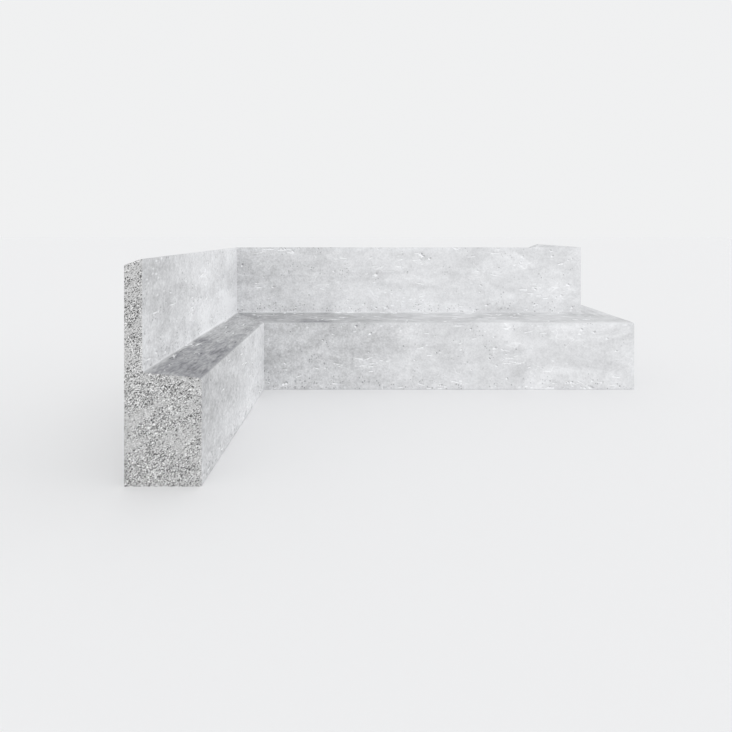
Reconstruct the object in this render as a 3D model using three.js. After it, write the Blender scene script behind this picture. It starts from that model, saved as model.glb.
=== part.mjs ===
import * as THREE from 'three';

// Wall moulding of stepped section, in three straight lengths mitred around two wall corners.
// Millimetres, +Z up. The front wall's face is the plane y = 0, the moulding stands out from it
// towards -Y, and the middle between the wall's two corners is at x = 0. The origin lies on the
// wall face, level with the line where the ledge meets the upstand.

// Section
const UPSTAND_HEIGHT = 117.5; // from the ledge line to the upper arris
const BLOCK_HEIGHT = 117.5; // from the underside to the ledge line
const BLOCK_DEPTH = 80; // from the wall face to the front of the block
const UPSTAND_THICKNESS = 18.5; // from the wall face to the front of the upstand
const LEDGE_FALL = 5.7; // how far the ledge drops on its way to the block's front arris
const TOP_SLOPE = THREE.MathUtils.degToRad(20); // the upper edge falls this steeply to the wall
const CORNER_FILLET = 3; // hollow rounding between ledge and upstand
const ARRIS_RADIUS = 3.5; // rounding of the ledge's front arris
const ARC_STEPS = 5; // straight sides of each rounding

// Lengths, measured along the wall faces
const FRONT_WALL_WIDTH = 616; // from the inside corner to the outside corner
const LEFT_WALL_LENGTH = 385; // from the inside corner to the square cut
const RIGHT_WALL_LENGTH = 200; // from the outside corner to the square cut
const MITRE_JOINT = 0.3; // glue line between two mitred faces

// How an end of a length is cut: the slope of the cut, as length gained for each millimetre of
// distance from the wall face.
const SQUARE = 0;
const LONGER_OUTSIDE = 1;
const SHORTER_OUTSIDE = -1;

const coatedGranulate = new THREE.MeshStandardMaterial({
  name: 'coated_granulate',
  color: 0xdcdddf,
  roughness: 0.9,
  metalness: 0,
});

// The rounding of one corner of the outline, as an arc that touches both of its sides.
function roundCorner(before, corner, after, radius) {
  const toBefore = before.clone().sub(corner).normalize();
  const toAfter = after.clone().sub(corner).normalize();
  const halfAngle = Math.acos(toBefore.dot(toAfter)) / 2;
  const middle = toBefore.clone().add(toAfter).normalize();
  const centre = corner.clone().addScaledVector(middle, radius / Math.sin(halfAngle));
  const tangent = radius / Math.tan(halfAngle);
  const start = corner.clone().addScaledVector(toBefore, tangent).sub(centre);
  const turn = Math.sign(toBefore.cross(toAfter)) * (Math.PI - 2 * halfAngle);
  const points = [];
  for (let step = 0; step <= ARC_STEPS; step += 1) {
    const angle = (-turn * step) / ARC_STEPS;
    points.push(start.clone().rotateAround(new THREE.Vector2(), angle).add(centre));
  }
  return points;
}

// Section of the moulding: x is the distance from the wall face, y the height over the ledge line.
function mouldingSection() {
  const underside = -BLOCK_HEIGHT;
  const wallFoot = new THREE.Vector2(0, underside);
  const frontFoot = new THREE.Vector2(BLOCK_DEPTH, underside);
  const frontArris = new THREE.Vector2(BLOCK_DEPTH, -LEDGE_FALL);
  const ledgeLine = new THREE.Vector2(UPSTAND_THICKNESS, 0);
  const upperArris = new THREE.Vector2(UPSTAND_THICKNESS, UPSTAND_HEIGHT);
  const topFall = UPSTAND_THICKNESS * Math.tan(TOP_SLOPE);
  const wallTop = new THREE.Vector2(0, UPSTAND_HEIGHT - topFall);
  return new THREE.Shape([
    wallFoot,
    frontFoot,
    ...roundCorner(frontFoot, frontArris, ledgeLine, ARRIS_RADIUS),
    ...roundCorner(frontArris, ledgeLine, upperArris, CORNER_FILLET),
    upperArris,
    wallTop,
  ]);
}

// One straight length, with its wall face at x = 0 and running towards -Y from y = 0. Each end is
// square or mitred, and a mitred end stops half a glue line short of the corner's diagonal.
function straightLength(section, wallLength, startCut, endCut) {
  const geometry = new THREE.ExtrudeGeometry(section, { depth: 1, bevelEnabled: false });
  const halfJoint = (MITRE_JOINT / 2) * Math.SQRT2;
  const startGap = startCut === SQUARE ? 0 : halfJoint;
  const endGap = endCut === SQUARE ? 0 : halfJoint;
  const corners = geometry.getAttribute('position');
  for (let i = 0; i < corners.count; i += 1) {
    const depth = corners.getX(i);
    const atEnd = corners.getZ(i) > 0.5;
    const along = atEnd ? wallLength + endCut * depth - endGap : startGap - startCut * depth;
    corners.setZ(i, along);
  }
  geometry.rotateX(Math.PI / 2);
  geometry.computeVertexNormals();
  return geometry;
}

// A named length at its place on the walls.
function placedLength(name, geometry, x, y, turn) {
  const mesh = new THREE.Mesh(geometry, coatedGranulate);
  mesh.name = name;
  mesh.position.set(x, y, 0);
  mesh.rotation.z = turn;
  return mesh;
}

function buildMoulding() {
  const section = mouldingSection();
  const insideCorner = -FRONT_WALL_WIDTH / 2;
  const outsideCorner = FRONT_WALL_WIDTH / 2;
  const left = straightLength(section, LEFT_WALL_LENGTH, SHORTER_OUTSIDE, SQUARE);
  const front = straightLength(section, FRONT_WALL_WIDTH, LONGER_OUTSIDE, SHORTER_OUTSIDE);
  const right = straightLength(section, RIGHT_WALL_LENGTH, SQUARE, LONGER_OUTSIDE);

  const moulding = new THREE.Group();
  moulding.add(placedLength('left_run', left, insideCorner, 0, 0));
  moulding.add(placedLength('front_run', front, outsideCorner, 0, -Math.PI / 2));
  moulding.add(placedLength('right_return', right, outsideCorner, RIGHT_WALL_LENGTH, 0));
  return moulding;
}

export default buildMoulding();
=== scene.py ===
"""Wall moulding of stepped section in pale cast concrete look, wrapped around two wall corners.

Three straight lengths, mitred and glued at the corners. Each has a thick block below, a thin
upstand above and a ledge between them. The coated faces carry soft clouds, pits and specks, and
the square cuts show the open grain of the core.
"""

import logging
import math
import random
from dataclasses import dataclass
from enum import Enum

import bmesh
import bpy
from mathutils import Matrix, Vector, noise
from mathutils.kdtree import KDTree


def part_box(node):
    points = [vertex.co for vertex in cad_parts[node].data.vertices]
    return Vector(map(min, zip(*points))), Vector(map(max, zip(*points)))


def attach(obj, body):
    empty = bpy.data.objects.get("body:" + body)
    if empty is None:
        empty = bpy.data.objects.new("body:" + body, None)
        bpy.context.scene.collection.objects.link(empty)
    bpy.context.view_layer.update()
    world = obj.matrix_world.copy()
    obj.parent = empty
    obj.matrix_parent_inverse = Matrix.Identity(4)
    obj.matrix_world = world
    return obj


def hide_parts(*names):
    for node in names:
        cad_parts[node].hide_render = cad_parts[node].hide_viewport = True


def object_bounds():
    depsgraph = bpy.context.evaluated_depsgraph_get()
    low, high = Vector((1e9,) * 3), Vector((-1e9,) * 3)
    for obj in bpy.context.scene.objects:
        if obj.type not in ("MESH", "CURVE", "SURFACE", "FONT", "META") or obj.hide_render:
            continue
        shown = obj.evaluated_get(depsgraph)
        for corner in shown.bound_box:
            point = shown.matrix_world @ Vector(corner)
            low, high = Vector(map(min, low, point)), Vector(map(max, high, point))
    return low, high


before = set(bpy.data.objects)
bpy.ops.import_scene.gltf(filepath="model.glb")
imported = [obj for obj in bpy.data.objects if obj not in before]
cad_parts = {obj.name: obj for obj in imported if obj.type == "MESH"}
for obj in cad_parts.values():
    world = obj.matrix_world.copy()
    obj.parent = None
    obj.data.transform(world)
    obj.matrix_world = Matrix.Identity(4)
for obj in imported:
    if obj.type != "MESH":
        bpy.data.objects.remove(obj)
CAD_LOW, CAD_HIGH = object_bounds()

log = logging.getLogger("moulding")

MM = 0.001
PAINTED_PIT_SHADING = "painted_pit_shading"
PORE_DEPTH = "pore_depth"
OPEN_BAND = "open_band"
DARK_TONE = 0.38
LIGHT_TONE = 0.5
# Distance under which a vertex counts as lying on a plane.
ON_PLANE = 1e-6
# Part of a face's normal along an axis, over which the face counts as looking along it.
FACING = 0.9
END_FACING = 0.6
# Ranges that a mask goes through.
RISING = (0.0, 1.0)
FALLING = (1.0, 0.0)


class Cut(Enum):
    """How an end of a length is cut: length gained for each metre of distance from the wall."""

    SQUARE = 0
    LONGER_OUTSIDE = 1
    SHORTER_OUTSIDE = -1


class Skin(Enum):
    """The two finishes, by their place in a piece's list of materials."""

    COATING = 0
    CORE = 1


def smooth_step(low: float, high: float, value: float) -> float:
    """Soft step from 0 at low to 1 at high.

    Args:
        low: Value where the step begins.
        high: Value where the step ends.
        value: Where to read the step.

    Returns:
        A number from 0 to 1.
    """
    share = min(max((value - low) / (high - low), 0.0), 1.0)
    return share * share * (3 - 2 * share)


class Nodes:
    """A small builder of shader nodes in one node tree."""

    def __init__(self, tree: bpy.types.NodeTree) -> None:
        """Starts on an emptied tree.

        Args:
            tree: The node tree to fill.
        """
        self.tree = tree
        tree.nodes.clear()

    def add(self, kind: str, **settings: object) -> bpy.types.Node:
        """Adds a node.

        Args:
            kind: The node's type name, without the ShaderNode prefix.
            **settings: Its properties.

        Returns:
            The new node.
        """
        node = self.tree.nodes.new(f"ShaderNode{kind}")
        for name, value in settings.items():
            setattr(node, name, value)
        return node

    def feed(self, node: bpy.types.Node, socket: str | int, value: object) -> None:
        """Links a socket to an input, or sets the input to a plain value.

        Args:
            node: The node that takes the value.
            socket: Name or number of its input.
            value: An output socket, a number or a tuple.
        """
        if isinstance(value, bpy.types.NodeSocket):
            self.tree.links.new(value, node.inputs[socket])
        else:
            node.inputs[socket].default_value = value

    def math(self, operation: str, first: object, second: object = 0.0) -> bpy.types.NodeSocket:
        """Adds a Math node.

        Args:
            operation: The Math node's operation.
            first: First value, a socket or a number.
            second: Second value.

        Returns:
            The result's socket.
        """
        node = self.add("Math", operation=operation)
        self.feed(node, 0, first)
        self.feed(node, 1, second)
        return node.outputs[0]

    def times(self, first: object, second: object) -> bpy.types.NodeSocket:
        """Multiplies two values, sockets or numbers."""
        return self.math("MULTIPLY", first, second)

    def noise(
        self, place: object, size: object, detail: float, rough: float, swirl: float = 0.0,
    ) -> bpy.types.NodeSocket:
        """Adds soft noise.

        Args:
            place: Socket of the coordinates, in metres.
            size: Socket of the size of its features, in metres.
            detail: Number of finer octaves.
            rough: Strength of each finer octave.
            swirl: How far the features are drawn out into wisps.

        Returns:
            The socket of the noise, from 0 to 1.
        """
        node = self.add("TexNoise", noise_dimensions="3D")
        self.feed(node, "Vector", place)
        self.feed(node, "Scale", self.math("DIVIDE", 1.0, size))
        self.feed(node, "Detail", detail)
        self.feed(node, "Roughness", rough)
        self.feed(node, "Distortion", swirl)
        return node.outputs["Fac"]

    def cells(self, place: object, size: object) -> bpy.types.Node:
        """Adds a Voronoi texture.

        Args:
            place: Socket of the coordinates, in metres.
            size: Socket of the distance between cells, in metres.

        Returns:
            The node, with its Distance output in cells and its Color output.
        """
        node = self.add("TexVoronoi", voronoi_dimensions="3D", feature="F1")
        self.feed(node, "Vector", place)
        self.feed(node, "Scale", self.math("DIVIDE", 1.0, size))
        return node

    def group(self, tree: bpy.types.NodeTree, **inputs: object) -> bpy.types.Node:
        """Places a node group.

        Args:
            tree: The group.
            **inputs: Values or sockets by input name, with underscores for spaces.

        Returns:
            The group's node.
        """
        node = self.add("Group", node_tree=tree)
        for name, value in inputs.items():
            self.feed(node, name.replace("_", " "), value)
        return node

    def remap(
        self, value: object, old: tuple[float, float], new: tuple[float, float] = RISING,
    ) -> bpy.types.NodeSocket:
        """Maps one range to another, softly and clamped.

        Args:
            value: The socket to map.
            old: Its range.
            new: The range it becomes.

        Returns:
            The mapped socket.
        """
        node = self.add("MapRange", interpolation_type="SMOOTHSTEP")
        self.feed(node, "Value", value)
        for name, number in zip(("From Min", "From Max", "To Min", "To Max"), (*old, *new)):
            self.feed(node, name, number)
        return node.outputs["Result"]

    def blend(self, low: object, high: object, share: object) -> bpy.types.NodeSocket:
        """Blends from one value to another.

        Args:
            low: The value at a share of 0.
            high: The value at a share of 1.
            share: Socket of the share.

        Returns:
            The blended socket.
        """
        return self.total(low, self.times(share, self.math("SUBTRACT", high, low)))

    def total(self, *values: object) -> bpy.types.NodeSocket:
        """Adds up values.

        Args:
            *values: Sockets or numbers.

        Returns:
            The socket of the sum.
        """
        result = values[0]
        for value in values[1:]:
            result = self.math("ADD", result, value)
        return result


class GroupNodes(Nodes):
    """The builder of a shader node group with named inputs and outputs."""

    def __init__(self, name: str, inputs: dict[str, float | None], outputs: tuple[str, ...]) -> None:
        """Starts the group.

        Args:
            name: The group's name.
            inputs: Each input's name and default, None for a place in space.
            outputs: The names of its number outputs.
        """
        tree = bpy.data.node_groups.new(name, "ShaderNodeTree")
        for label, default in inputs.items():
            kind = "NodeSocketVector" if default is None else "NodeSocketFloat"
            socket = tree.interface.new_socket(label, in_out="INPUT", socket_type=kind)
            if default is not None:
                socket.default_value = default
        for label in outputs:
            tree.interface.new_socket(label, in_out="OUTPUT", socket_type="NodeSocketFloat")
        super().__init__(tree)
        self.given = tree.nodes.new("NodeGroupInput").outputs
        self.result = tree.nodes.new("NodeGroupOutput")


def mottle_group() -> bpy.types.NodeTree:
    """Soft clouds, blotches and fine grain of a cast mineral face.

    Returns:
        The group, with outputs Tone, around 0, and Height, from 0 to 1.
    """
    inputs = {
        "Place": None, "Drawn Place": None, "Cloud Size": 0.05, "Cloud Strength": 0.3, "Blotch Size": 0.008,
        "Blotch Strength": 0.25, "Grain Size": 0.0025, "Grain Strength": 0.3, "Fine Contrast": 1.0,
    }
    nodes = GroupNodes("mineral_mottle", inputs, ("Tone", "Height"))
    given = nodes.given
    cloud = nodes.noise(given["Drawn Place"], given["Cloud Size"], 5.0, 0.6, 0.9)
    blotch = nodes.noise(given["Place"], given["Blotch Size"], 3.0, 0.6, 0.4)
    grain = nodes.noise(given["Place"], given["Grain Size"], 2.0, 0.6)
    layers = ((cloud, "Cloud Strength"), (blotch, "Blotch Strength"), (grain, "Grain Strength"))
    tones = [nodes.times(nodes.math("SUBTRACT", layer, 0.5), given[label]) for layer, label in layers]
    fine = nodes.times(nodes.total(tones[1], tones[2]), given["Fine Contrast"])
    nodes.feed(nodes.result, "Tone", nodes.total(tones[0], fine))
    nodes.feed(nodes.result, "Height", nodes.times(nodes.total(blotch, grain), 0.5))
    return nodes.tree


def pinhole_group() -> bpy.types.NodeTree:
    """Round holes of many sizes that gather in patches.

    Returns:
        The group, with the output Holes, 1 in a hole and 0 on the face between them.
    """
    inputs = {"Place": None, "Spacing": 0.004, "Radius": 0.25, "Patch Size": 0.03, "Cover": 0.5}
    nodes = GroupNodes("pinholes", inputs, ("Holes",))
    given = nodes.given
    cells = nodes.cells(given["Place"], given["Spacing"])
    own_size = nodes.add("SeparateColor")
    nodes.feed(own_size, "Color", cells.outputs["Color"])
    radius = nodes.times(given["Radius"], own_size.outputs["Red"])
    inner = nodes.math("SUBTRACT", radius, cells.outputs["Distance"])
    rim = (-0.04, 0.10)
    hole = nodes.remap(inner, rim)
    patch = nodes.noise(given["Place"], given["Patch Size"], 2.0, 0.5)
    patch_edge = (0.96, 1.06)
    mask = nodes.remap(nodes.total(patch, given["Cover"]), patch_edge)
    nodes.feed(nodes.result, "Holes", nodes.times(hole, mask))
    return nodes.tree


def hairline_group() -> bpy.types.NodeTree:
    """Thin curved lines, here and there, as the skin of a casting shows them.

    Returns:
        The group, with the output Lines, 1 on a line.
    """
    inputs = {"Place": None, "Curl Size": 0.03, "Width": 0.006, "Patch Size": 0.05, "Cover": 0.45}
    nodes = GroupNodes("hairlines", inputs, ("Lines",))
    given = nodes.given
    field = nodes.noise(given["Place"], given["Curl Size"], 1.0, 0.5)
    off_line = nodes.math("ABSOLUTE", nodes.math("SUBTRACT", field, 0.5))
    line_edge = (0.3, 1.0)
    line = nodes.remap(nodes.math("DIVIDE", off_line, given["Width"]), line_edge, FALLING)
    patch = nodes.noise(given["Place"], given["Patch Size"], 2.0, 0.5)
    patch_edge = (1.0, 1.06)
    mask = nodes.remap(nodes.total(patch, given["Cover"]), patch_edge)
    nodes.feed(nodes.result, "Lines", nodes.times(line, mask))
    return nodes.tree


def slanted_place(nodes: Nodes, place: object, rise: float, stretch: float) -> bpy.types.NodeSocket:
    """Coordinates in which patterns are drawn out along a rising line.

    Args:
        nodes: Builder of the tree.
        place: Socket of the plain coordinates.
        rise: Angle of the line over the horizontal.
        stretch: How many times longer the patterns are along it.

    Returns:
        The socket of the slanted coordinates.
    """
    turned = nodes.add("Mapping", vector_type="POINT")
    nodes.feed(turned, "Vector", place)
    nodes.feed(turned, "Rotation", (0, rise, 0))
    drawn = nodes.add("Mapping", vector_type="POINT")
    nodes.feed(drawn, "Vector", turned.outputs["Vector"])
    nodes.feed(drawn, "Scale", (1 / stretch, 1, 1))
    return drawn.outputs["Vector"]


@dataclass(frozen=True)
class SharedEffects:
    """The node groups that both finishes place in their materials."""

    mottle: bpy.types.NodeTree
    pinholes: bpy.types.NodeTree
    hairlines: bpy.types.NodeTree


@dataclass(frozen=True)
class Mottle:
    """Sizes and strengths of one finish's clouds, blotches and grain."""

    cloud_size: float
    cloud_strength: float
    blotch_size: float
    blotch_strength: float
    grain_size: float
    grain_strength: float

    def put(
        self, nodes: Nodes, effects: SharedEffects, place: object, drawn: object, contrast: object,
    ) -> bpy.types.Node:
        """Places the mottle in a material.

        Args:
            nodes: Builder of the material's tree.
            effects: The shared node groups.
            place: Socket of the coordinates of blotches and grain.
            drawn: Socket of the coordinates of the clouds.
            contrast: Socket of the strength of blotches and grain.

        Returns:
            The group's node.
        """
        return nodes.group(
            effects.mottle, Place=place, Drawn_Place=drawn, Cloud_Size=self.cloud_size,
            Cloud_Strength=self.cloud_strength, Blotch_Size=self.blotch_size,
            Blotch_Strength=self.blotch_strength, Grain_Size=self.grain_size,
            Grain_Strength=self.grain_strength, Fine_Contrast=contrast,
        )


@dataclass(frozen=True)
class Specks:
    """Small round marks that gather in patches, and how much they lighten or darken."""

    spacing: float
    radius: float
    patch: float
    cover: float
    tone: float

    def put(
        self, nodes: Nodes, effects: SharedEffects, place: object, more: object = 0.0,
    ) -> bpy.types.NodeSocket:
        """Places the specks in a material.

        Args:
            nodes: Builder of the material's tree.
            effects: The shared node groups.
            place: Socket of the coordinates.
            more: Socket of additional cover, here and there.

        Returns:
            The socket of their mask.
        """
        group = nodes.group(
            effects.pinholes, Place=place, Spacing=self.spacing, Radius=self.radius, Patch_Size=self.patch,
            Cover=nodes.total(self.cover, more),
        )
        return group.outputs["Holes"]


@dataclass(frozen=True)
class Threads:
    """Thin curved lines in patches, and how much they lighten or darken."""

    curl: float
    width: float
    patch: float
    cover: float
    tone: float

    def put(self, nodes: Nodes, effects: SharedEffects, place: object) -> bpy.types.NodeSocket:
        """Places the lines in a material.

        Args:
            nodes: Builder of the material's tree.
            effects: The shared node groups.
            place: Socket of the coordinates.

        Returns:
            The socket of their mask.
        """
        group = nodes.group(
            effects.hairlines, Place=place, Curl_Size=self.curl, Width=self.width, Patch_Size=self.patch,
            Cover=self.cover,
        )
        return group.outputs["Lines"]


@dataclass(frozen=True)
class Finish:
    """What the finishes have in common: a tinted tone, a bump and a matt surface.

    The tint is that of the tones from LIGHT_TONE up, and the shade tint that of those up to DARK_TONE; a
    bluer shade tint paints the cool cast of shade into the dark tones.
    """

    bump_strength: float
    bump_depth: float
    roughness: float
    tint: tuple[float, float, float]
    shade_tint: tuple[float, float, float]

    TONE_RANGE = (0.2, 0.9)
    DARK_ROUGHER = 0.06
    LIGHT_SMOOTHER = 0.04

    def surface(self, nodes: Nodes, tone: object, height: object) -> None:
        """Makes the shader from a tone and a height.

        Args:
            nodes: Builder of the material's tree.
            tone: Socket of the lightness, from 0 to 1.
            height: Socket of the fine relief.
        """
        ramp = nodes.add("ValToRGB")
        ramp.color_ramp.elements[0].color = (0, 0, 0, 1)
        ramp.color_ramp.elements[1].color = (*self.tint, 1)
        for stop, tint in ((DARK_TONE, self.shade_tint), (LIGHT_TONE, self.tint)):
            ramp.color_ramp.elements.new(stop).color = (*(stop * part for part in tint), 1)
        nodes.feed(ramp, "Fac", tone)
        bump = nodes.add("Bump")
        nodes.feed(bump, "Strength", self.bump_strength)
        nodes.feed(bump, "Distance", self.bump_depth)
        nodes.feed(bump, "Height", height)
        roughest = min(self.roughness + self.DARK_ROUGHER, 1.0)
        smoothest = self.roughness - self.LIGHT_SMOOTHER
        roughness = nodes.remap(tone, self.TONE_RANGE, (roughest, smoothest))
        surface = nodes.add("BsdfPrincipled")
        nodes.feed(surface, "Base Color", ramp.outputs["Color"])
        nodes.feed(surface, "Roughness", roughness)
        nodes.feed(surface, "Normal", bump.outputs["Normal"])
        nodes.feed(nodes.add("OutputMaterial"), "Surface", surface.outputs["BSDF"])


@dataclass(frozen=True)
class ToneSpans:
    """Where the coating's wide changes of tone begin and end, in metres in the moulding's axes; most of
    them are painted light and shade.
    """

    ledge_line: tuple[float, float] = (-0.001, 0.001)
    low_shade_x: tuple[float, float] = (-0.20, 0.14)
    high_shade_x: tuple[float, float] = (-0.32, 0.04)
    left_x: tuple[float, float] = (-0.20, 0.04)
    corner_y: tuple[float, float] = (-0.38, -0.13)
    raised_z: tuple[float, float] = (-0.06, 0.06)
    thin_shade_z: tuple[float, float] = (0.02, 0.09)
    porous_block_z: tuple[float, float] = (-0.116, -0.088)
    porous_upstand_z: tuple[float, float] = (0.002, 0.030)
    lit_block_z: tuple[float, float] = (-0.110, -0.060)
    lit_upstand_z: tuple[float, float] = (0.010, 0.068)


@dataclass(frozen=True)
class Coating(Finish):
    """The thin mineral coating: pale, cool and matt, with clouds, specks, hairlines and pits, and painted
    light and shade over its faces.
    """

    bump_strength: float = 0.35
    bump_depth: float = 0.5 * MM
    roughness: float = 0.88
    tint: tuple[float, float, float] = (0.980, 0.986, 1.0)
    # Painted cool cast of shade in the darker tones.
    shade_tint: tuple[float, float, float] = (0.944, 0.949, 1.0)
    run_axis: int = 0
    pattern_place: tuple[float, float, float] = (0.0, 0.0, 0.0)
    cloud_stretch: float = 2.2
    streak_stretch: float = 3.6
    mottle: Mottle = Mottle(40 * MM, 0.50, 7.5 * MM, 0.46, 2.8 * MM, 0.58)
    dark_specks: Specks = Specks(4.0 * MM, 0.42, 22 * MM, 0.39, -0.25)
    foot_cover: float = 0.19
    light_specks: Specks = Specks(5.0 * MM, 0.30, 35 * MM, 0.46, 0.17)
    hairlines: Threads = Threads(22 * MM, 0.010, 30 * MM, 0.45, 0.10)
    veins: Threads = Threads(75 * MM, 0.06, 60 * MM, 0.45, -0.05)
    vein_rise: float = math.radians(38)
    vein_stretch: float = 2.2
    # Strength of the painted highlight and shade in the pits.
    painted_pit_shading: float = 0.5
    base_tone: float = 0.75
    even_contrast: float = 0.43
    shaded_contrast: float = 0.36
    upward_contrast: float = 0.12
    # Painted shade on the faces that look up: an even part and a part that grows to the left.
    even_ledge_shade: float = 0.06
    ledge_shade_by_x: float = 0.07
    # Painted shade to the left, and painted light toward the left run's corner, on the upstand and at the
    # feet.
    painted_left_shade: float = 0.15
    painted_corner_light: float = 0.0
    ledge_share: float = 0.8
    painted_foot_light: float = 0.02
    painted_shaded_foot_light: float = 0.09
    painted_upper_light: float = 0.035
    high_shade: float = 0.8
    upper_edge_shade: float = 0.4
    # How much painted light the foot of the block and of the upstand takes.
    block_foot: float = 0.7
    upstand_foot: float = 1.6
    speck_relief: float = -1.2
    hairline_relief: float = 0.5
    upward_range: tuple[float, float] = (0.5, 0.95)
    spans: ToneSpans = ToneSpans()

    def build(self, name: str, effects: SharedEffects) -> bpy.types.Material:
        """Makes the material.

        Args:
            name: The material's name.
            effects: The shared node groups.

        Returns:
            The material.
        """
        material = bpy.data.materials.new(name)
        material.use_nodes = True
        nodes = Nodes(material.node_tree)
        place = nodes.add("TexCoord").outputs["Object"]
        split = nodes.add("SeparateXYZ")
        nodes.feed(split, 0, place)
        height = split.outputs["Z"]
        spans = self.spans
        above_ledge = nodes.remap(height, spans.ledge_line)
        # Masks of painted light and shade: darker to the left, lighter toward the left run's corner.
        low_shade = nodes.remap(split.outputs["X"], spans.low_shade_x, FALLING)
        high_shade = nodes.remap(split.outputs["X"], spans.high_shade_x, (self.high_shade, 0.0))
        shaded = nodes.blend(low_shade, high_shade, above_ledge)
        on_left = nodes.remap(split.outputs["X"], spans.left_x, FALLING)
        cornered = nodes.times(on_left, nodes.remap(split.outputs["Y"], spans.corner_y))
        upward = self.upward(nodes)

        drawn = self.drawn_along(nodes, place, self.cloud_stretch)
        streaked = nodes.add("Mix", data_type="VECTOR")
        nodes.feed(streaked, "Factor", upward)
        nodes.feed(streaked, 4, place)
        nodes.feed(streaked, 5, self.drawn_along(nodes, place, self.streak_stretch))
        fine_place = streaked.outputs[1]
        contrast = nodes.total(
            self.even_contrast,
            nodes.times(shaded, self.shaded_contrast),
            nodes.times(upward, self.upward_contrast),
        )
        mottle = self.mottle.put(nodes, effects, fine_place, drawn, contrast)
        foot = nodes.times(self.above_foot(nodes, height, above_ledge), self.foot_cover)
        dark_specks = self.dark_specks.put(nodes, effects, fine_place, foot)
        light_specks = self.light_specks.put(nodes, effects, drawn)
        hairlines = self.hairlines.put(nodes, effects, drawn)
        slanted = slanted_place(nodes, place, self.vein_rise, self.vein_stretch)
        veins = self.veins.put(nodes, effects, slanted)
        # Painted highlight and shade of the pits, read from the mesh's layer.
        pit = nodes.add("Attribute", attribute_name=PAINTED_PIT_SHADING, attribute_type="GEOMETRY").outputs["Fac"]

        # Painted light: the upstand lighter than the block, and the feet lighter.
        raised = nodes.remap(height, spans.raised_z)
        # Painted shade on the ledge, even and growing to the left.
        ledge_shade = nodes.total(self.even_ledge_shade, nodes.times(shaded, self.ledge_shade_by_x))
        painted_foot_light = nodes.total(self.painted_foot_light, nodes.times(shaded, self.painted_shaded_foot_light))
        lit_corner = nodes.times(cornered, nodes.remap(upward, RISING, (1.0, self.ledge_share)))
        tone = nodes.total(
            self.base_tone,
            mottle.outputs["Tone"],
            # painted light on the upstand, painted shade to the left, painted light at the corner and the
            # feet
            nodes.times(raised, self.painted_upper_light),
            nodes.times(shaded, -self.painted_left_shade),
            nodes.times(lit_corner, self.painted_corner_light),
            nodes.times(self.lit_foot(nodes, height, above_ledge), painted_foot_light),
            nodes.times(dark_specks, self.dark_specks.tone),
            nodes.times(light_specks, self.light_specks.tone),
            nodes.times(hairlines, self.hairlines.tone),
            nodes.times(veins, self.veins.tone),
            nodes.times(pit, self.painted_pit_shading),
            # painted shade on the faces that look up
            nodes.times(nodes.times(self.painted_ledge_shade(nodes, upward, height), ledge_shade), -1.0),
        )
        relief = nodes.total(
            mottle.outputs["Height"],
            nodes.times(dark_specks, self.speck_relief),
            nodes.times(hairlines, self.hairline_relief),
        )
        self.surface(nodes, tone, relief)
        return material

    def drawn_along(self, nodes: Nodes, place: object, stretch: float) -> bpy.types.NodeSocket:
        """Coordinates in which patterns come out longer along the run.

        Args:
            nodes: Builder of the material's tree.
            place: Socket of the plain coordinates.
            stretch: How many times longer.

        Returns:
            The socket of the drawn-out coordinates.
        """
        mapping = nodes.add("Mapping", vector_type="POINT")
        nodes.feed(mapping, "Vector", place)
        nodes.feed(mapping, "Location", self.pattern_place)
        scale = [1.0, 1.0, 1.0]
        scale[self.run_axis] = 1 / stretch
        nodes.feed(mapping, "Scale", tuple(scale))
        return mapping.outputs["Vector"]

    def upward(self, nodes: Nodes) -> bpy.types.NodeSocket:
        """Mask of the faces that look up, which take painted shade and streaked patterns.

        Args:
            nodes: Builder of the material's tree.

        Returns:
            The socket of the mask, from 0 to 1.
        """
        split = nodes.add("SeparateXYZ")
        nodes.feed(split, 0, nodes.add("NewGeometry").outputs["Normal"])
        return nodes.remap(split.outputs["Z"], self.upward_range)

    def painted_ledge_shade(self, nodes: Nodes, upward: object, height: object) -> bpy.types.NodeSocket:
        """Mask of the painted shade on the faces that look up, stronger on the ledge than on the upper
        edge.

        Args:
            nodes: Builder of the material's tree.
            upward: Socket of the mask of the faces that look up.
            height: Socket of the height over the ledge line.

        Returns:
            The socket of the mask, from 0 to 1.
        """
        return nodes.times(upward, nodes.remap(height, self.spans.thin_shade_z, (1.0, self.upper_edge_shade)))

    def above_foot(self, nodes: Nodes, height: object, above_ledge: object) -> bpy.types.NodeSocket:
        """Mask of the lowest part of upstand and block, where the casting is more porous.

        Args:
            nodes: Builder of the material's tree.
            height: Socket of the height over the ledge line.
            above_ledge: Socket of the mask of what lies over the ledge line.

        Returns:
            The socket of the mask, from 0 to 1.
        """
        low_block = nodes.remap(height, self.spans.porous_block_z, FALLING)
        low_upstand = nodes.remap(height, self.spans.porous_upstand_z, FALLING)
        return nodes.total(low_block, nodes.times(low_upstand, above_ledge))

    def lit_foot(self, nodes: Nodes, height: object, above_ledge: object) -> bpy.types.NodeSocket:
        """Mask of the painted bounce light on the lower part of upstand and block, the upstand's most of
        all.

        Args:
            nodes: Builder of the material's tree.
            height: Socket of the height over the ledge line.
            above_ledge: Socket of the mask of what lies over the ledge line.

        Returns:
            The socket of the mask, over 1 at the upstand's foot.
        """
        low_block = nodes.remap(height, self.spans.lit_block_z, (self.block_foot, 0.0))
        low_upstand = nodes.remap(height, self.spans.lit_upstand_z, (self.upstand_foot, 0.0))
        return nodes.total(low_block, nodes.times(low_upstand, above_ledge))


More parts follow.
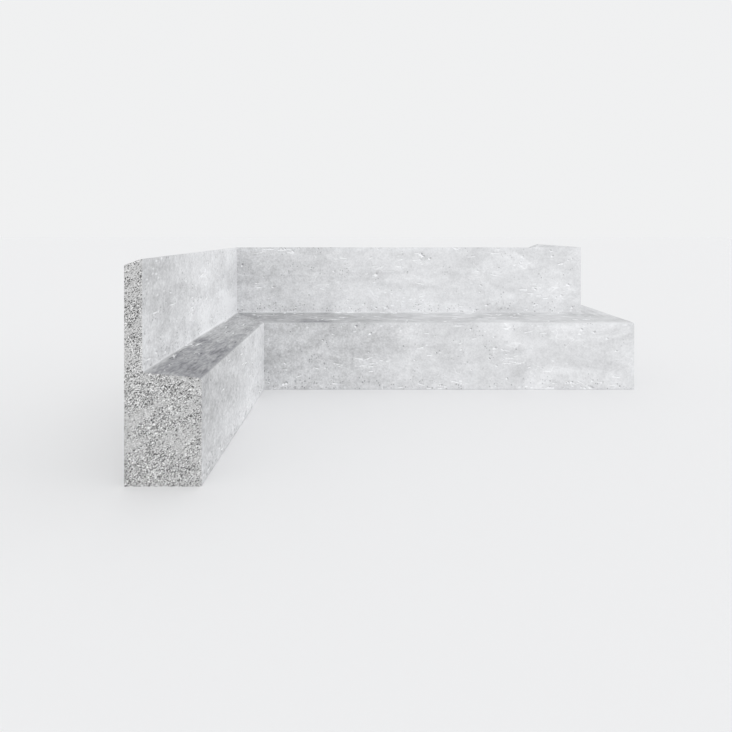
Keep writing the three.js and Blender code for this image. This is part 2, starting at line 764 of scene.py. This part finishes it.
@dataclass(frozen=True)
class Core(Finish):
    """The granulate core, as a cut shows it: light grains with open pores between them.

    The pattern leans along slanting bands, in which the grain is coarser and more open.
    """

    bump_strength: float = 0.7
    bump_depth: float = 0.8 * MM
    roughness: float = 0.94
    tint: tuple[float, float, float] = (1.0, 0.998, 0.995)
    shade_tint: tuple[float, float, float] = (1.0, 0.998, 0.995)
    base_tone: float = 0.568
    lean: float = math.radians(38)
    band_stretch: float = 3.0
    grain_stretch: float = 2.2
    least_contrast: float = 0.62
    band_contrast: float = 0.88
    granule_size: float = 0.55 * MM
    granule_contrast: float = 0.50
    mottle: Mottle = Mottle(7 * MM, 0.20, 3 * MM, 0.06, 0.75 * MM, 1.3)
    pores: Specks = Specks(1.25 * MM, 0.5, 10 * MM, 0.60, -0.42)
    band_cover: float = 0.14
    # Painted shade in the carved pores, by their depth.
    painted_pore_shade: float = -0.46

    def build(self, name: str, effects: SharedEffects) -> bpy.types.Material:
        """Makes the material.

        Args:
            name: The material's name.
            effects: The shared node groups.

        Returns:
            The material.
        """
        material = bpy.data.materials.new(name)
        material.use_nodes = True
        nodes = Nodes(material.node_tree)
        place = nodes.add("TexCoord").outputs["Object"]
        drawn = slanted_place(nodes, place, self.lean, self.band_stretch)
        leaning = slanted_place(nodes, place, self.lean, self.grain_stretch)
        band = nodes.add("Attribute", attribute_name=OPEN_BAND, attribute_type="GEOMETRY").outputs["Fac"]
        contrast = nodes.total(self.least_contrast, nodes.times(band, self.band_contrast))
        mottle = self.mottle.put(nodes, effects, leaning, drawn, contrast)
        pores = self.pores.put(nodes, effects, leaning, nodes.times(band, self.band_cover))
        granule = nodes.add("SeparateColor")
        nodes.feed(granule, "Color", nodes.cells(leaning, self.granule_size).outputs["Color"])
        own_tone = nodes.times(nodes.math("SUBTRACT", granule.outputs["Green"], 0.5), self.granule_contrast)
        depth = nodes.add("Attribute", attribute_name=PORE_DEPTH, attribute_type="GEOMETRY").outputs["Fac"]
        tone = nodes.total(
            self.base_tone,
            mottle.outputs["Tone"],
            nodes.times(own_tone, contrast),
            nodes.times(pores, self.pores.tone),
            # painted shade in the carved pores
            nodes.times(depth, self.painted_pore_shade),
        )
        self.surface(nodes, tone, nodes.total(mottle.outputs["Height"], nodes.times(pores, -1.0)))
        return material


@dataclass(frozen=True)
class Section:
    """The stepped section, in metres. Heights count from the ledge line."""

    depth: float
    block_height: float
    upstand_height: float
    upstand_thickness: float = 18.5 * MM
    ledge_fall: float = 5.7 * MM
    top_slope: float = math.radians(20)
    corner_fillet: float = 3.0 * MM
    ledge_arris: float = 3.3 * MM
    soft_arris: float = 0.8 * MM


class PitShape(Enum):
    """Kinds of marks that trapped air and the trowel leave in the coating."""

    BOWL = "bowl"
    DASH = "dash"


@dataclass(frozen=True)
class Pit:
    """One pit in a coated face, as a ragged oval with its own depth."""

    shape: PitShape
    centre: Vector
    run: Vector
    rise: Vector
    normal: Vector
    half_length: float
    half_width: float
    depth: float
    tilt: float
    seed: float

    RIM_PACE = 420
    RIM_RAGGEDNESS = 0.5
    SHADE_RISE = 0.85
    SHADE_RUN = 0.5
    LEAST_REACH = 0.1 * MM

    def turned(self, place: Vector) -> tuple[float, float]:
        """A point's distances from the middle, along the pit and across it.

        Args:
            place: The point.

        Returns:
            Both distances, in metres.
        """
        offset = place - self.centre
        u = offset.dot(self.run)
        v = offset.dot(self.rise)
        turn_cos = math.cos(self.tilt)
        turn_sin = math.sin(self.tilt)
        return u * turn_cos + v * turn_sin, v * turn_cos - u * turn_sin

    def covers(self, place: Vector, reach: float, margin: float) -> bool:
        """Whether a point of the pit's face lies in the box around the pit.

        Args:
            place: The point.
            reach: How many times the pit's own size the box has.
            margin: What is added to that on each side.

        Returns:
            True for a point in the box.
        """
        along, across = self.turned(place)
        in_length = abs(along) <= self.half_length * reach + margin
        in_width = abs(across) <= self.half_width * reach + margin
        return in_length and in_width and abs((place - self.centre).dot(self.normal)) < MM

    def read(self, place: Vector) -> tuple[float, float]:
        """Where a point lies in the pit.

        Args:
            place: The point.

        Returns:
            Its distance from the middle, with 1 at the rim, and its lean from -1, at the side that
            catches the light, to 1, at the side in its own shade.
        """
        offset = place - self.centre
        u = offset.dot(self.run)
        v = offset.dot(self.rise)
        length_way, width_way = self.turned(place)
        along = length_way / self.half_length
        across = width_way / self.half_width
        ragged = noise.noise(offset * self.RIM_PACE + Vector((self.seed, 0, 0)))
        distance = math.hypot(along, across) * (1 + self.RIM_RAGGEDNESS * ragged)
        reach = max(math.hypot(u, v), self.LEAST_REACH)
        lean = (self.SHADE_RISE * v - self.SHADE_RUN * u) / reach
        if self.shape is PitShape.DASH:
            lean = max(-1.0, min(1.0, across))
        return distance, lean


@dataclass(frozen=True)
class PitHabit:
    """How pits come out at random.

    Lengths and widths are half sizes in millimetres, and so in millimetres are the spread of a
    cluster, the low strip, the deepest bowl and the dash's depth. The overrun is in metres. The
    bowl's depth is a share of its half width, and the reach is one of the half length.
    """

    clusters: int = 7
    clustered: float = 0.35
    clustered_or_low: float = 0.55
    cluster_spread: tuple[float, float] = (14, 7)
    low_strip: float = 14
    overrun: float = 0.08
    bowl_lengths: tuple[float, ...] = (1.2, 1.4, 1.8, 2.4, 2.8)
    bowl_growth: tuple[float, float] = (0.8, 1.2)
    bowl_slimness: tuple[float, float] = (0.38, 0.7)
    bowl_depth: float = 0.6
    deepest_bowl: float = 1.1
    bowl_tilt: float = 0.5
    dash_lengths: tuple[float, float] = (2.5, 7.0)
    dash_widths: tuple[float, float] = (0.8, 1.1)
    ledge_growth: float = 1.5
    dash_depth: float = 0.45
    dash_tilt: float = 0.16
    bowl_shade: float = 0.6
    dash_shade: float = 0.3
    shade_share: float = 0.8
    bowl_edge: tuple[float, float] = (0.45, 1.05)
    rim_edge: tuple[float, float] = (0.9, 1.5)
    reach: float = 1.8


@dataclass(frozen=True)
class Grain:
    """The relief's waves, bands, pores and grit.

    A pace is the number of noise steps in a metre. The pores' radii are shares of their spacing,
    and the grit is in millimetres.
    """

    wave: float = 0.35 * MM
    broad_pace: float = 16
    broad_share: float = 0.6
    fine_pace: float = 120
    fine_share: float = 0.22
    mitre_fade: float = 6 * MM
    band_place: float = 48.14
    band_slope: float = 0.8
    band_pace_along: float = 22
    band_pace_across: float = 75
    band_edge: float = 0.42
    band_detail: float = 0.7
    band_detail_pace: float = 2.3
    pore_spacing: float = 1.4 * MM
    pore_sink: float = 0.8 * MM
    pore_radius: float = 0.06
    pore_spread: float = 0.18
    band_growth: float = 0.20
    least_pore: float = 0.14
    pore_edge: tuple[float, float] = (0.6, 1.3)
    grit_pace: float = 700
    grit: float = 0.16


@dataclass(frozen=True)
class Strip:
    """One coated face that shows: its lower corner at the start of the run, directions and width."""

    origin: Vector
    rise: Vector
    normal: Vector
    width: float


@dataclass
class MouldingLength:
    """One straight length of the moulding, with its relief."""

    name: str
    node: str
    section: Section
    wall_length: float
    start_cut: Cut
    end_cut: Cut
    corner: Vector
    turn: float
    seed: int
    cell: float = 2.4 * MM
    run_cell: float = 2.8 * MM
    hidden_cell: float = 12.0 * MM
    pore_cell: float = 0.48 * MM
    bowl_spacing: float = 34 * MM
    dash_spacing: float = 33 * MM
    habit: PitHabit = PitHabit()
    grain: Grain = Grain()

    def build(self) -> bpy.types.Object:
        """Makes the length as one closed mesh.

        Returns:
            The finished object, in place.
        """
        random.seed(self.seed)
        noise.seed_set(self.seed)
        bm = bmesh.new()
        self.rough_out(bm)
        self.round_arrises(bm)
        self.divide_sides(bm)
        if Cut.SQUARE in (self.start_cut, self.end_cut):
            self.divide_cut_end(bm)
        self.cut_mitres(bm)
        pits = self.choose_pits()
        self.refine_at_pits(bm, pits)
        self.carve(bm, pits)
        place = Matrix.Translation(self.corner) @ Matrix.Rotation(self.turn, 4, "Z")
        bmesh.ops.transform(bm, matrix=place, verts=bm.verts[:])
        bmesh.ops.recalc_face_normals(bm, faces=bm.faces[:])
        mesh = bpy.data.meshes.new(self.name)
        bm.to_mesh(mesh)
        bm.free()
        piece = bpy.data.objects.new(self.name, mesh)
        bpy.context.scene.collection.objects.link(piece)
        return piece

    def rough_out(self, bm: bmesh.types.BMesh) -> None:
        """Makes the plain stepped prism: x from the wall, y back along the run, z from the ledge.

        Args:
            bm: The mesh to fill.
        """
        s = self.section
        made = bmesh.ops.create_cube(bm, size=1.0)
        bmesh.ops.scale(bm, verts=made["verts"], vec=(s.depth, self.wall_length, s.block_height))
        middle = Vector((s.depth / 2, -self.wall_length / 2, -s.block_height / 2))
        bmesh.ops.translate(bm, verts=made["verts"], vec=middle)
        everything = bm.verts[:] + bm.edges[:] + bm.faces[:]
        bmesh.ops.bisect_plane(
            bm, geom=everything, dist=ON_PLANE, plane_co=(s.upstand_thickness, 0, 0), plane_no=(1, 0, 0),
        )
        upper = [f for f in bm.faces if f.normal.z > FACING]
        foot = [f for f in upper if f.calc_center_median().x < s.upstand_thickness]
        raised = bmesh.ops.extrude_face_region(bm, geom=foot)
        new = [v for v in raised["geom"] if isinstance(v, bmesh.types.BMVert)]
        bmesh.ops.delete(bm, geom=foot, context="FACES_ONLY")
        bmesh.ops.translate(bm, verts=new, vec=(0, 0, s.upstand_height))
        inner = [e for e in bm.edges if self.is_inner_seam(e)]
        bmesh.ops.dissolve_edges(bm, edges=inner, use_verts=True)
        for v in bm.verts:
            if v.co.x > s.depth - MM and v.co.z > -MM:
                v.co.z -= s.ledge_fall
            if v.co.x < MM and v.co.z > s.upstand_height - MM:
                v.co.z -= s.upstand_thickness * math.tan(s.top_slope)

    def is_inner_seam(self, edge: bmesh.types.BMEdge) -> bool:
        """True for an edge between two faces that lie in one plane."""
        return len(edge.link_faces) == 2 and edge.calc_face_angle(0.0) < 0.001

    def round_arrises(self, bm: bmesh.types.BMesh) -> None:
        """Rounds the long arrises and the hollow corner between ledge and upstand.

        Args:
            bm: The prism.
        """
        s = self.section
        rounded = {s.corner_fillet: [], s.ledge_arris: [], s.soft_arris: []}
        for edge in bm.edges:
            first, second = (v.co for v in edge.verts)
            if abs(first.y - second.y) < MM:
                continue
            if abs(first.x - s.upstand_thickness) < MM and abs(first.z) < MM:
                rounded[s.corner_fillet].append(edge)
            elif first.x > s.depth - MM and first.z > -s.block_height + MM:
                rounded[s.ledge_arris].append(edge)
            else:
                rounded[s.soft_arris].append(edge)
        for radius, edges in rounded.items():
            segments = 4 if radius > 2 * MM else 2
            bmesh.ops.bevel(
                bm, geom=edges, offset=radius, offset_type="OFFSET", segments=segments, profile=0.5,
                affect="EDGES", clamp_overlap=False, material=-1,
            )

    def divide_sides(self, bm: bmesh.types.BMesh) -> None:
        """Divides the long sides across and along the run.

        Args:
            bm: The rounded prism.
        """
        bm.normal_update()
        jobs = []
        for face in bm.faces:
            if abs(face.normal.y) > FACING:
                continue
            ends = [e for e in face.edges if abs(e.verts[0].co.y - e.verts[1].co.y) < MM]
            width = ends[0].calc_length()
            shown = face.normal.x > 0.3 or face.normal.z > 0.3
            step = self.cell if shown else self.hidden_cell
            cuts = round(width / step) - 1
            if cuts > 0:
                jobs.append((ends, cuts))
        for ends, cuts in jobs:
            bmesh.ops.subdivide_edges(bm, edges=ends, cuts=cuts, use_grid_fill=True)
        lengthwise = [e for e in bm.edges if abs(e.verts[0].co.y - e.verts[1].co.y) > self.wall_length / 2]
        cuts = round(self.wall_length / self.run_cell) - 1
        bmesh.ops.subdivide_edges(bm, edges=lengthwise, cuts=cuts, use_grid_fill=True)

    def divide_cut_end(self, bm: bmesh.types.BMesh) -> None:
        """Cuts the square end into a fine grid that carries the pores.

        Args:
            bm: The divided prism.
        """
        rim = {v for f in self.square_end(bm) for v in f.verts}
        heights = self.stations([v.co.z for v in rim if v.co.x > MM])
        depths = self.stations([v.co.x for v in rim if v.co.z > MM - self.section.block_height])
        for axis, places in ((Vector((0, 0, 1)), heights), (Vector((1, 0, 0)), depths)):
            for place in places:
                faces = self.square_end(bm)
                edges = {e for f in faces for e in f.edges}
                verts = {v for f in faces for v in f.verts}
                bmesh.ops.bisect_plane(
                    bm, geom=[*verts, *edges, *faces], dist=ON_PLANE, plane_co=axis * place, plane_no=axis,
                )
        crowded = [f for f in self.square_end(bm) if len(f.verts) > 4]
        bmesh.ops.triangulate(bm, faces=crowded)
        edges = {e for f in self.square_end(bm) for e in f.edges}
        cuts = round(self.cell / self.pore_cell) - 1
        bmesh.ops.subdivide_edges(bm, edges=list(edges), cuts=cuts, use_grid_fill=True)
        for face in self.square_end(bm):
            face.material_index = Skin.CORE.value

    def square_end(self, bm: bmesh.types.BMesh) -> list[bmesh.types.BMFace]:
        """The faces of the square end, before the mitres are cut."""
        y = 0.0 if self.start_cut is Cut.SQUARE else -self.wall_length
        return [f for f in bm.faces if all(abs(v.co.y - y) < ON_PLANE for v in f.verts)]

    def stations(self, places: list[float]) -> list[float]:
        """Chooses where the grid of the cut end has its lines.

        Args:
            places: Where the rim has its vertices, along one axis.

        Returns:
            Places at the rim's vertices, neither crowded nor far apart.
        """
        chosen = []
        for place in sorted(places):
            if not chosen:
                chosen.append(place)
            gap = place - chosen[-1]
            if gap > 1.4 * self.cell:
                parts = round(gap / self.cell)
                chosen += [chosen[-1] + gap * (i + 1) / parts for i in range(parts)]
            elif gap > 0.6 * self.cell:
                chosen.append(place)
        return chosen

    def cut_mitres(self, bm: bmesh.types.BMesh) -> None:
        """Shears the run so that its mitred ends follow the corners' diagonals.

        Args:
            bm: The divided prism.
        """
        for v in bm.verts:
            share = -v.co.y / self.wall_length
            start = -self.start_cut.value * v.co.x
            end = self.wall_length + self.end_cut.value * v.co.x
            v.co.y = -((1 - share) * start + share * end)

    def mitre_distance(self, place: Vector) -> float:
        """How far a point is from the nearest mitre, along the run.

        Args:
            place: The point, in the length's own axes.

        Returns:
            The distance, large where no end is mitred.
        """
        distances = [1.0]
        if self.start_cut is not Cut.SQUARE:
            distances.append(-place.y + self.start_cut.value * place.x)
        if self.end_cut is not Cut.SQUARE:
            distances.append(self.wall_length + self.end_cut.value * place.x + place.y)
        return min(distances)

    def choose_pits(self) -> list[Pit]:
        """Scatters pits over the coated faces that show.

        Returns:
            The pits.
        """
        s = self.section
        up = Vector((0, 0, 1))
        out = Vector((1, 0, 0))
        fall = Vector((s.depth - s.upstand_thickness, 0, -s.ledge_fall)).normalized()
        ledge_up = Vector((-fall.z, 0, fall.x))
        block_top = -s.ledge_fall - s.ledge_arris
        block_foot = Vector((s.depth, 0, -s.block_height))
        upstand_foot = Vector((s.upstand_thickness, 0, s.corner_fillet))
        strips = (
            Strip(block_foot, up, out, block_top + s.block_height),
            Strip(upstand_foot, up, out, s.upstand_height - s.corner_fillet),
            Strip(Vector((s.upstand_thickness, 0, 0)), fall, ledge_up, s.depth - s.upstand_thickness),
        )
        pits = []
        for strip in strips:
            area = strip.width * self.wall_length
            clusters = [
                (random.uniform(0, self.wall_length), random.uniform(0, strip.width))
                for _ in range(self.habit.clusters)
            ]
            for shape, spacing in ((PitShape.BOWL, self.bowl_spacing), (PitShape.DASH, self.dash_spacing)):
                for _ in range(round(area / spacing**2)):
                    pits.append(self.one_pit(shape, clusters, strip))
        return [pit for pit in pits if self.clear_of_ends(pit)]

    def one_pit(self, shape: PitShape, clusters: list[tuple[float, float]], strip: Strip) -> Pit:
        """Draws one pit at random.

        Args:
            shape: Its kind.
            clusters: Places along and up the face where pits gather.
            strip: The face.

        Returns:
            The pit.
        """
        run = Vector((0, -1, 0))
        habit = self.habit
        if shape is PitShape.BOWL:
            half_length = random.choice(habit.bowl_lengths) * random.uniform(*habit.bowl_growth) * MM
            half_width = half_length * random.uniform(*habit.bowl_slimness)
            depth = min(habit.bowl_depth * half_width, habit.deepest_bowl * MM)
            tilt = random.gauss(0, habit.bowl_tilt)
        else:
            growth = habit.ledge_growth if strip.normal.z > 0.5 else 1.0
            half_length = random.uniform(*habit.dash_lengths) * growth * MM
            half_width = random.uniform(*habit.dash_widths) * growth * MM
            depth = habit.dash_depth * MM
            tilt = random.gauss(0, habit.dash_tilt)
        u = random.uniform(-habit.overrun, self.wall_length + habit.overrun)
        v = random.uniform(0, strip.width)
        kind = random.random()
        if kind < habit.clustered:
            centre = random.choice(clusters)
            u = random.gauss(centre[0], habit.cluster_spread[0] * MM)
            v = random.gauss(centre[1], habit.cluster_spread[1] * MM)
        elif kind < habit.clustered_or_low:
            v = random.uniform(0, habit.low_strip * MM)
        margin = 1.5 * half_width + 0.5 * MM
        v = min(max(v, margin), strip.width - margin)
        place = strip.origin + strip.rise * v + run * u
        seed = random.uniform(0, 99)
        return Pit(
            shape, place, run, strip.rise, strip.normal, half_length, half_width, depth, tilt, seed,
        )

    def clear_of_ends(self, pit: Pit) -> bool:
        """True for a pit that keeps clear of mitres and cut ends."""
        along = -pit.centre.y
        square_start = self.start_cut is not Cut.SQUARE or along > pit.half_length
        square_end = self.end_cut is not Cut.SQUARE or along < self.wall_length - pit.half_length
        return square_start and square_end and self.mitre_distance(pit.centre) > 3 * pit.half_length

    def refine_at_pits(self, bm: bmesh.types.BMesh, pits: list[Pit]) -> None:
        """Divides the mesh further where pits are.

        Args:
            bm: The mesh.
            pits: The pits.
        """
        for reach, margin in ((1.35, self.cell * 0.42), (1.15, self.cell * 0.22)):
            bm.edges.ensure_lookup_table()
            tree = KDTree(len(bm.edges))
            for i, edge in enumerate(bm.edges):
                tree.insert((edge.verts[0].co + edge.verts[1].co) / 2, i)
            tree.balance()
            near = set()
            for pit in pits:
                for place, index, _ in tree.find_range(pit.centre, pit.half_length * reach + 2 * margin):
                    if pit.covers(place, reach, margin):
                        near.add(bm.edges[index])
            bmesh.ops.subdivide_edges(bm, edges=list(near), cuts=1, use_grid_fill=True)

    def carve(self, bm: bmesh.types.BMesh, pits: list[Pit]) -> None:
        """Moves the surface: soft waves, pits, and pores in the cut end. The wall face shows core.

        Args:
            bm: The refined mesh.
            pits: The pits.
        """
        tone = bm.verts.layers.float.new(PAINTED_PIT_SHADING)
        pore = bm.verts.layers.float.new(PORE_DEPTH)
        band = bm.verts.layers.float.new(OPEN_BAND)
        bm.normal_update()
        bm.verts.ensure_lookup_table()
        sides = {}
        capped = set()
        for v in bm.verts:
            normal = Vector()
            for face in v.link_faces:
                if face.material_index == Skin.CORE.value:
                    capped.add(v.index)
                elif abs(face.normal.y) < END_FACING:
                    normal += face.normal
            sides[v.index] = normal.normalized() if normal.length > 0 else None
        moves = {v.index: Vector() for v in bm.verts}
        self.add_waves(bm, sides, moves)
        self.add_pits(bm, pits, sides, moves, tone)
        self.note_bands(bm, band)
        self.add_pores(bm, capped, moves, pore, band)
        for v in bm.verts:
            v.co += moves[v.index]
        for face in bm.faces:
            face.smooth = True
            if face.normal.x < -FACING:
                face.material_index = Skin.CORE.value
        for edge in bm.edges:
            skins = {face.material_index for face in edge.link_faces}
            ends = {abs(face.normal.y) > END_FACING for face in edge.link_faces}
            edge.smooth = len(skins) == 1 and len(ends) == 1

    def add_waves(self, bm: bmesh.types.BMesh, sides: dict[int, Vector], moves: dict[int, Vector]) -> None:
        """Adds the slight unevenness of a cast face.

        Args:
            bm: The mesh.
            sides: Outward direction of the long side at each vertex.
            moves: The moves so far, by vertex.
        """
        grain = self.grain
        for v in bm.verts:
            normal = sides[v.index]
            if normal is None or normal.x < -0.5 or normal.z < -0.5:
                continue
            fade = smooth_step(0.0, grain.mitre_fade, self.mitre_distance(v.co))
            broad = noise.noise(v.co * grain.broad_pace) * grain.broad_share
            fine = noise.fractal(v.co * grain.fine_pace, 1.0, 2.0, 3) * grain.fine_share
            moves[v.index] += normal * (broad + fine) * grain.wave * fade

    def add_pits(
        self, bm: bmesh.types.BMesh, pits: list[Pit], sides: dict[int, Vector], moves: dict[int, Vector],
        tone: bmesh.types.BMLayerItem,
    ) -> None:
        """Sinks the pits, and paints a highlight on the side of each that faces the light and shade on the
        side away from it, into the coating's colour.

        Args:
            bm: The mesh.
            pits: The pits.
            sides: Outward direction of the long side at each vertex.
            moves: The moves so far, by vertex.
            tone: The float layer of the painted pit highlight and shade, which the coating reads.
        """
        tree = KDTree(len(bm.verts))
        for v in bm.verts:
            tree.insert(v.co, v.index)
        tree.balance()
        habit = self.habit
        for pit in pits:
            shade_strength = habit.dash_shade if pit.shape is PitShape.DASH else habit.bowl_shade
            for place, index, _ in tree.find_range(pit.centre, pit.half_length * habit.reach):
                normal = sides[index]
                if normal is None or normal.dot(pit.normal) < 0.8:
                    continue
                distance, lean = pit.read(place)
                bowl = 1 - smooth_step(*habit.bowl_edge, distance)
                rim = 1 - smooth_step(*habit.rim_edge, distance)
                moves[index] -= pit.normal * pit.depth * bowl
                # Painted shade on the side of the pit away from the light, painted highlight on the side
                # toward it.
                shade = max(lean, 0.0) * shade_strength
                shine = max(-lean, 0.0)
                bm.verts[index][tone] += rim * (shine - shade * habit.shade_share)

    def note_bands(self, bm: bmesh.types.BMesh, band: bmesh.types.BMLayerItem) -> None:
        """Notes where the core's slanting open bands lie.

        Args:
            bm: The mesh.
            band: The float layer for them, from 0 to 1.
        """
        grain = self.grain
        for v in bm.verts:
            along = (v.co.x + grain.band_slope * v.co.z) * grain.band_pace_along
            across = (v.co.z - grain.band_slope * v.co.x) * grain.band_pace_across
            drift = Vector((along, across, grain.band_place - v.co.y * grain.band_pace_along))
            detail = noise.noise(drift * grain.band_detail_pace)
            openness = noise.noise(drift) + grain.band_detail * detail
            v[band] = smooth_step(-grain.band_edge, grain.band_edge, openness)

    def add_pores(
        self, bm: bmesh.types.BMesh, capped: set[int], moves: dict[int, Vector],
        pore: bmesh.types.BMLayerItem, band: bmesh.types.BMLayerItem,
    ) -> None:
        """Opens the pores of the core in the cut end.

        Args:
            bm: The mesh.
            capped: Vertices of the cut end.
            moves: The moves so far, by vertex.
            pore: The float layer of the pores' depth, which the core reads to paint shade in them.
            band: The float layer of the open bands.
        """
        inward = Vector((0, -1, 0)) if self.start_cut is Cut.SQUARE else Vector((0, 1, 0))
        grain = self.grain
        inner, outer = grain.pore_edge
        for index in capped:
            v = bm.verts[index]
            distances, points = noise.voronoi(v.co / grain.pore_spacing + Vector((0, self.seed, 0)))
            own = noise.cell(points[0] * 7.3)
            radius = grain.pore_radius + grain.pore_spread * own + grain.band_growth * v[band]
            hole = 0.0
            if radius > grain.least_pore:
                hole = 1 - smooth_step(radius * inner, radius * outer, distances[0])
            grit = noise.fractal(v.co * grain.grit_pace, 1.0, 2.0, 2)
            v[pore] = hole
            moves[index] += inward * (hole * grain.pore_sink + grit * grain.grit * MM)


@dataclass(frozen=True)
class SoftLight:
    """A broad soft light that falls evenly on everything, from the direction toward it."""

    name: str
    toward: tuple[float, float, float]
    softness: float
    strength: float


@dataclass(frozen=True)
class Studio:
    """Pale floor under the even light of a white room, two broad soft lights and the camera."""

    lights: tuple[SoftLight, ...] = (
        SoftLight("front_light", (0.25, -1.0, 0.30), math.radians(50), 0.42),
        SoftLight("side_light", (1.0, -0.15, 0.10), math.radians(30), 0.38),
    )
    floor_width: float = 40.0
    floor_tone: tuple[float, float, float] = (0.93, 0.93, 0.935)
    floor_roughness: float = 0.9
    room_tone: tuple[float, float, float] = (0.99, 0.995, 1.0)
    room_light: float = 0.88
    lens: float = 23.69
    sensor: float = 36.0
    shift_down: float = 0.1837
    camera_place: Vector = Vector((-0.0585, -0.8817, 0.1455))

    def build(self) -> None:
        """Makes the floor, the lights and the camera."""
        self.floor()
        self.world()
        for light in self.lights:
            self.add_light(light)
        self.camera()

    def floor(self) -> None:
        """Makes the pale floor under the moulding."""
        bm = bmesh.new()
        bmesh.ops.create_grid(bm, x_segments=1, y_segments=1, size=self.floor_width / 2)
        bmesh.ops.translate(bm, verts=bm.verts[:], vec=(0, 0, CAD_LOW.z))
        mesh = bpy.data.meshes.new("studio_floor")
        bm.to_mesh(mesh)
        bm.free()
        floor = bpy.data.objects.new("studio_floor", mesh)
        bpy.context.scene.collection.objects.link(floor)
        material = bpy.data.materials.new("studio_paper")
        material.use_nodes = True
        surface = material.node_tree.nodes["Principled BSDF"]
        surface.inputs["Base Color"].default_value = (*self.floor_tone, 1)
        surface.inputs["Roughness"].default_value = self.floor_roughness
        mesh.materials.append(material)

    def world(self) -> None:
        """Sets the even light of the room."""
        world = bpy.data.worlds.new("room")
        bpy.context.scene.world = world
        world.use_nodes = True
        back = world.node_tree.nodes["Background"]
        back.inputs["Color"].default_value = (*self.room_tone, 1)
        back.inputs["Strength"].default_value = self.room_light

    @staticmethod
    def add_light(light: SoftLight) -> None:
        """Adds a light.

        Args:
            light: Its name, direction, spread and strength.
        """
        data = bpy.data.lights.new(light.name, "SUN")
        data.energy = light.strength
        data.angle = light.softness
        lamp = bpy.data.objects.new(light.name, data)
        bpy.context.scene.collection.objects.link(lamp)
        lamp.rotation_euler = (-Vector(light.toward)).to_track_quat("-Z", "Y").to_euler()

    def camera(self) -> None:
        """Adds the camera at the photograph's viewing angle."""
        data = bpy.data.cameras.new("camera")
        data.lens = self.lens
        data.sensor_width = self.sensor
        data.sensor_fit = "HORIZONTAL"
        data.shift_y = -self.shift_down
        data.clip_start = 0.01
        camera = bpy.data.objects.new("camera", data)
        bpy.context.scene.collection.objects.link(camera)
        camera.location = self.camera_place
        camera.rotation_euler = (math.radians(90), 0, 0)
        bpy.context.scene.camera = camera


class Moulding:
    """The whole moulding: its three lengths and their finishes."""

    def lengths(self) -> list[MouldingLength]:
        """Works out the lengths from the frame.

        Returns:
            The left run, the front run and the right return.
        """
        left_low, left_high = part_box("left_run")
        right_low, right_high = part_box("right_return")
        wall_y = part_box("front_run")[1].y
        section = Section(left_high.x - left_low.x, -left_low.z, left_high.z)
        inside = Vector((left_low.x, wall_y, 0))
        outside = Vector((right_low.x, wall_y, 0))
        far = Vector((right_low.x, right_high.y, 0))
        sparse = {"bowl_spacing": 40 * MM, "dash_spacing": 46 * MM}
        left = MouldingLength(
            "left_length", "left_run", section, wall_y - left_low.y, Cut.SHORTER_OUTSIDE, Cut.SQUARE,
            inside, turn=0, seed=11, **sparse,
        )
        front = MouldingLength(
            "front_length", "front_run", section, outside.x - inside.x, Cut.LONGER_OUTSIDE,
            Cut.SHORTER_OUTSIDE, outside, turn=math.radians(-90), seed=23, cell=2.1 * MM,
            run_cell=2.6 * MM,
        )
        right = MouldingLength(
            "return_length", "right_return", section, far.y - wall_y, Cut.SQUARE, Cut.LONGER_OUTSIDE,
            far, turn=0, seed=37, **sparse,
        )
        return [left, front, right]

    def build(self) -> None:
        """Builds, dresses and mounts every length."""
        effects = SharedEffects(mottle_group(), pinhole_group(), hairline_group())
        core = Core().build("open_core", effects)
        # Each run takes its own painted light and shade; the left run grows lighter toward the corner.
        sideways = Coating(run_axis=0, pattern_place=(0.685, 1.055, 0.415)).build("coating_across", effects)
        lengthways = Coating(
            run_axis=1, painted_corner_light=0.21, painted_left_shade=0.18, painted_upper_light=0.01, even_ledge_shade=0.03,
            ledge_shade_by_x=0.17, pattern_place=(0.959, 1.477, 0.581),
        ).build("coating_away", effects)
        for length in self.lengths():
            piece = length.build()
            mesh = piece.data
            mesh.materials.append(sideways if length.turn else lengthways)
            mesh.materials.append(core)
            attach(piece, "root")
            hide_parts(length.node)
            log.info("%s: %d vertices, %d faces", piece.name, len(mesh.vertices), len(mesh.polygons))


def main() -> None:
    """Builds the moulding and the studio around it."""
    logging.basicConfig(level=logging.INFO, format="%(name)s: %(message)s")
    Moulding().build()
    Studio().build()
    bpy.context.scene.view_settings.view_transform = "Standard"


if __name__ == "__main__":
    main()
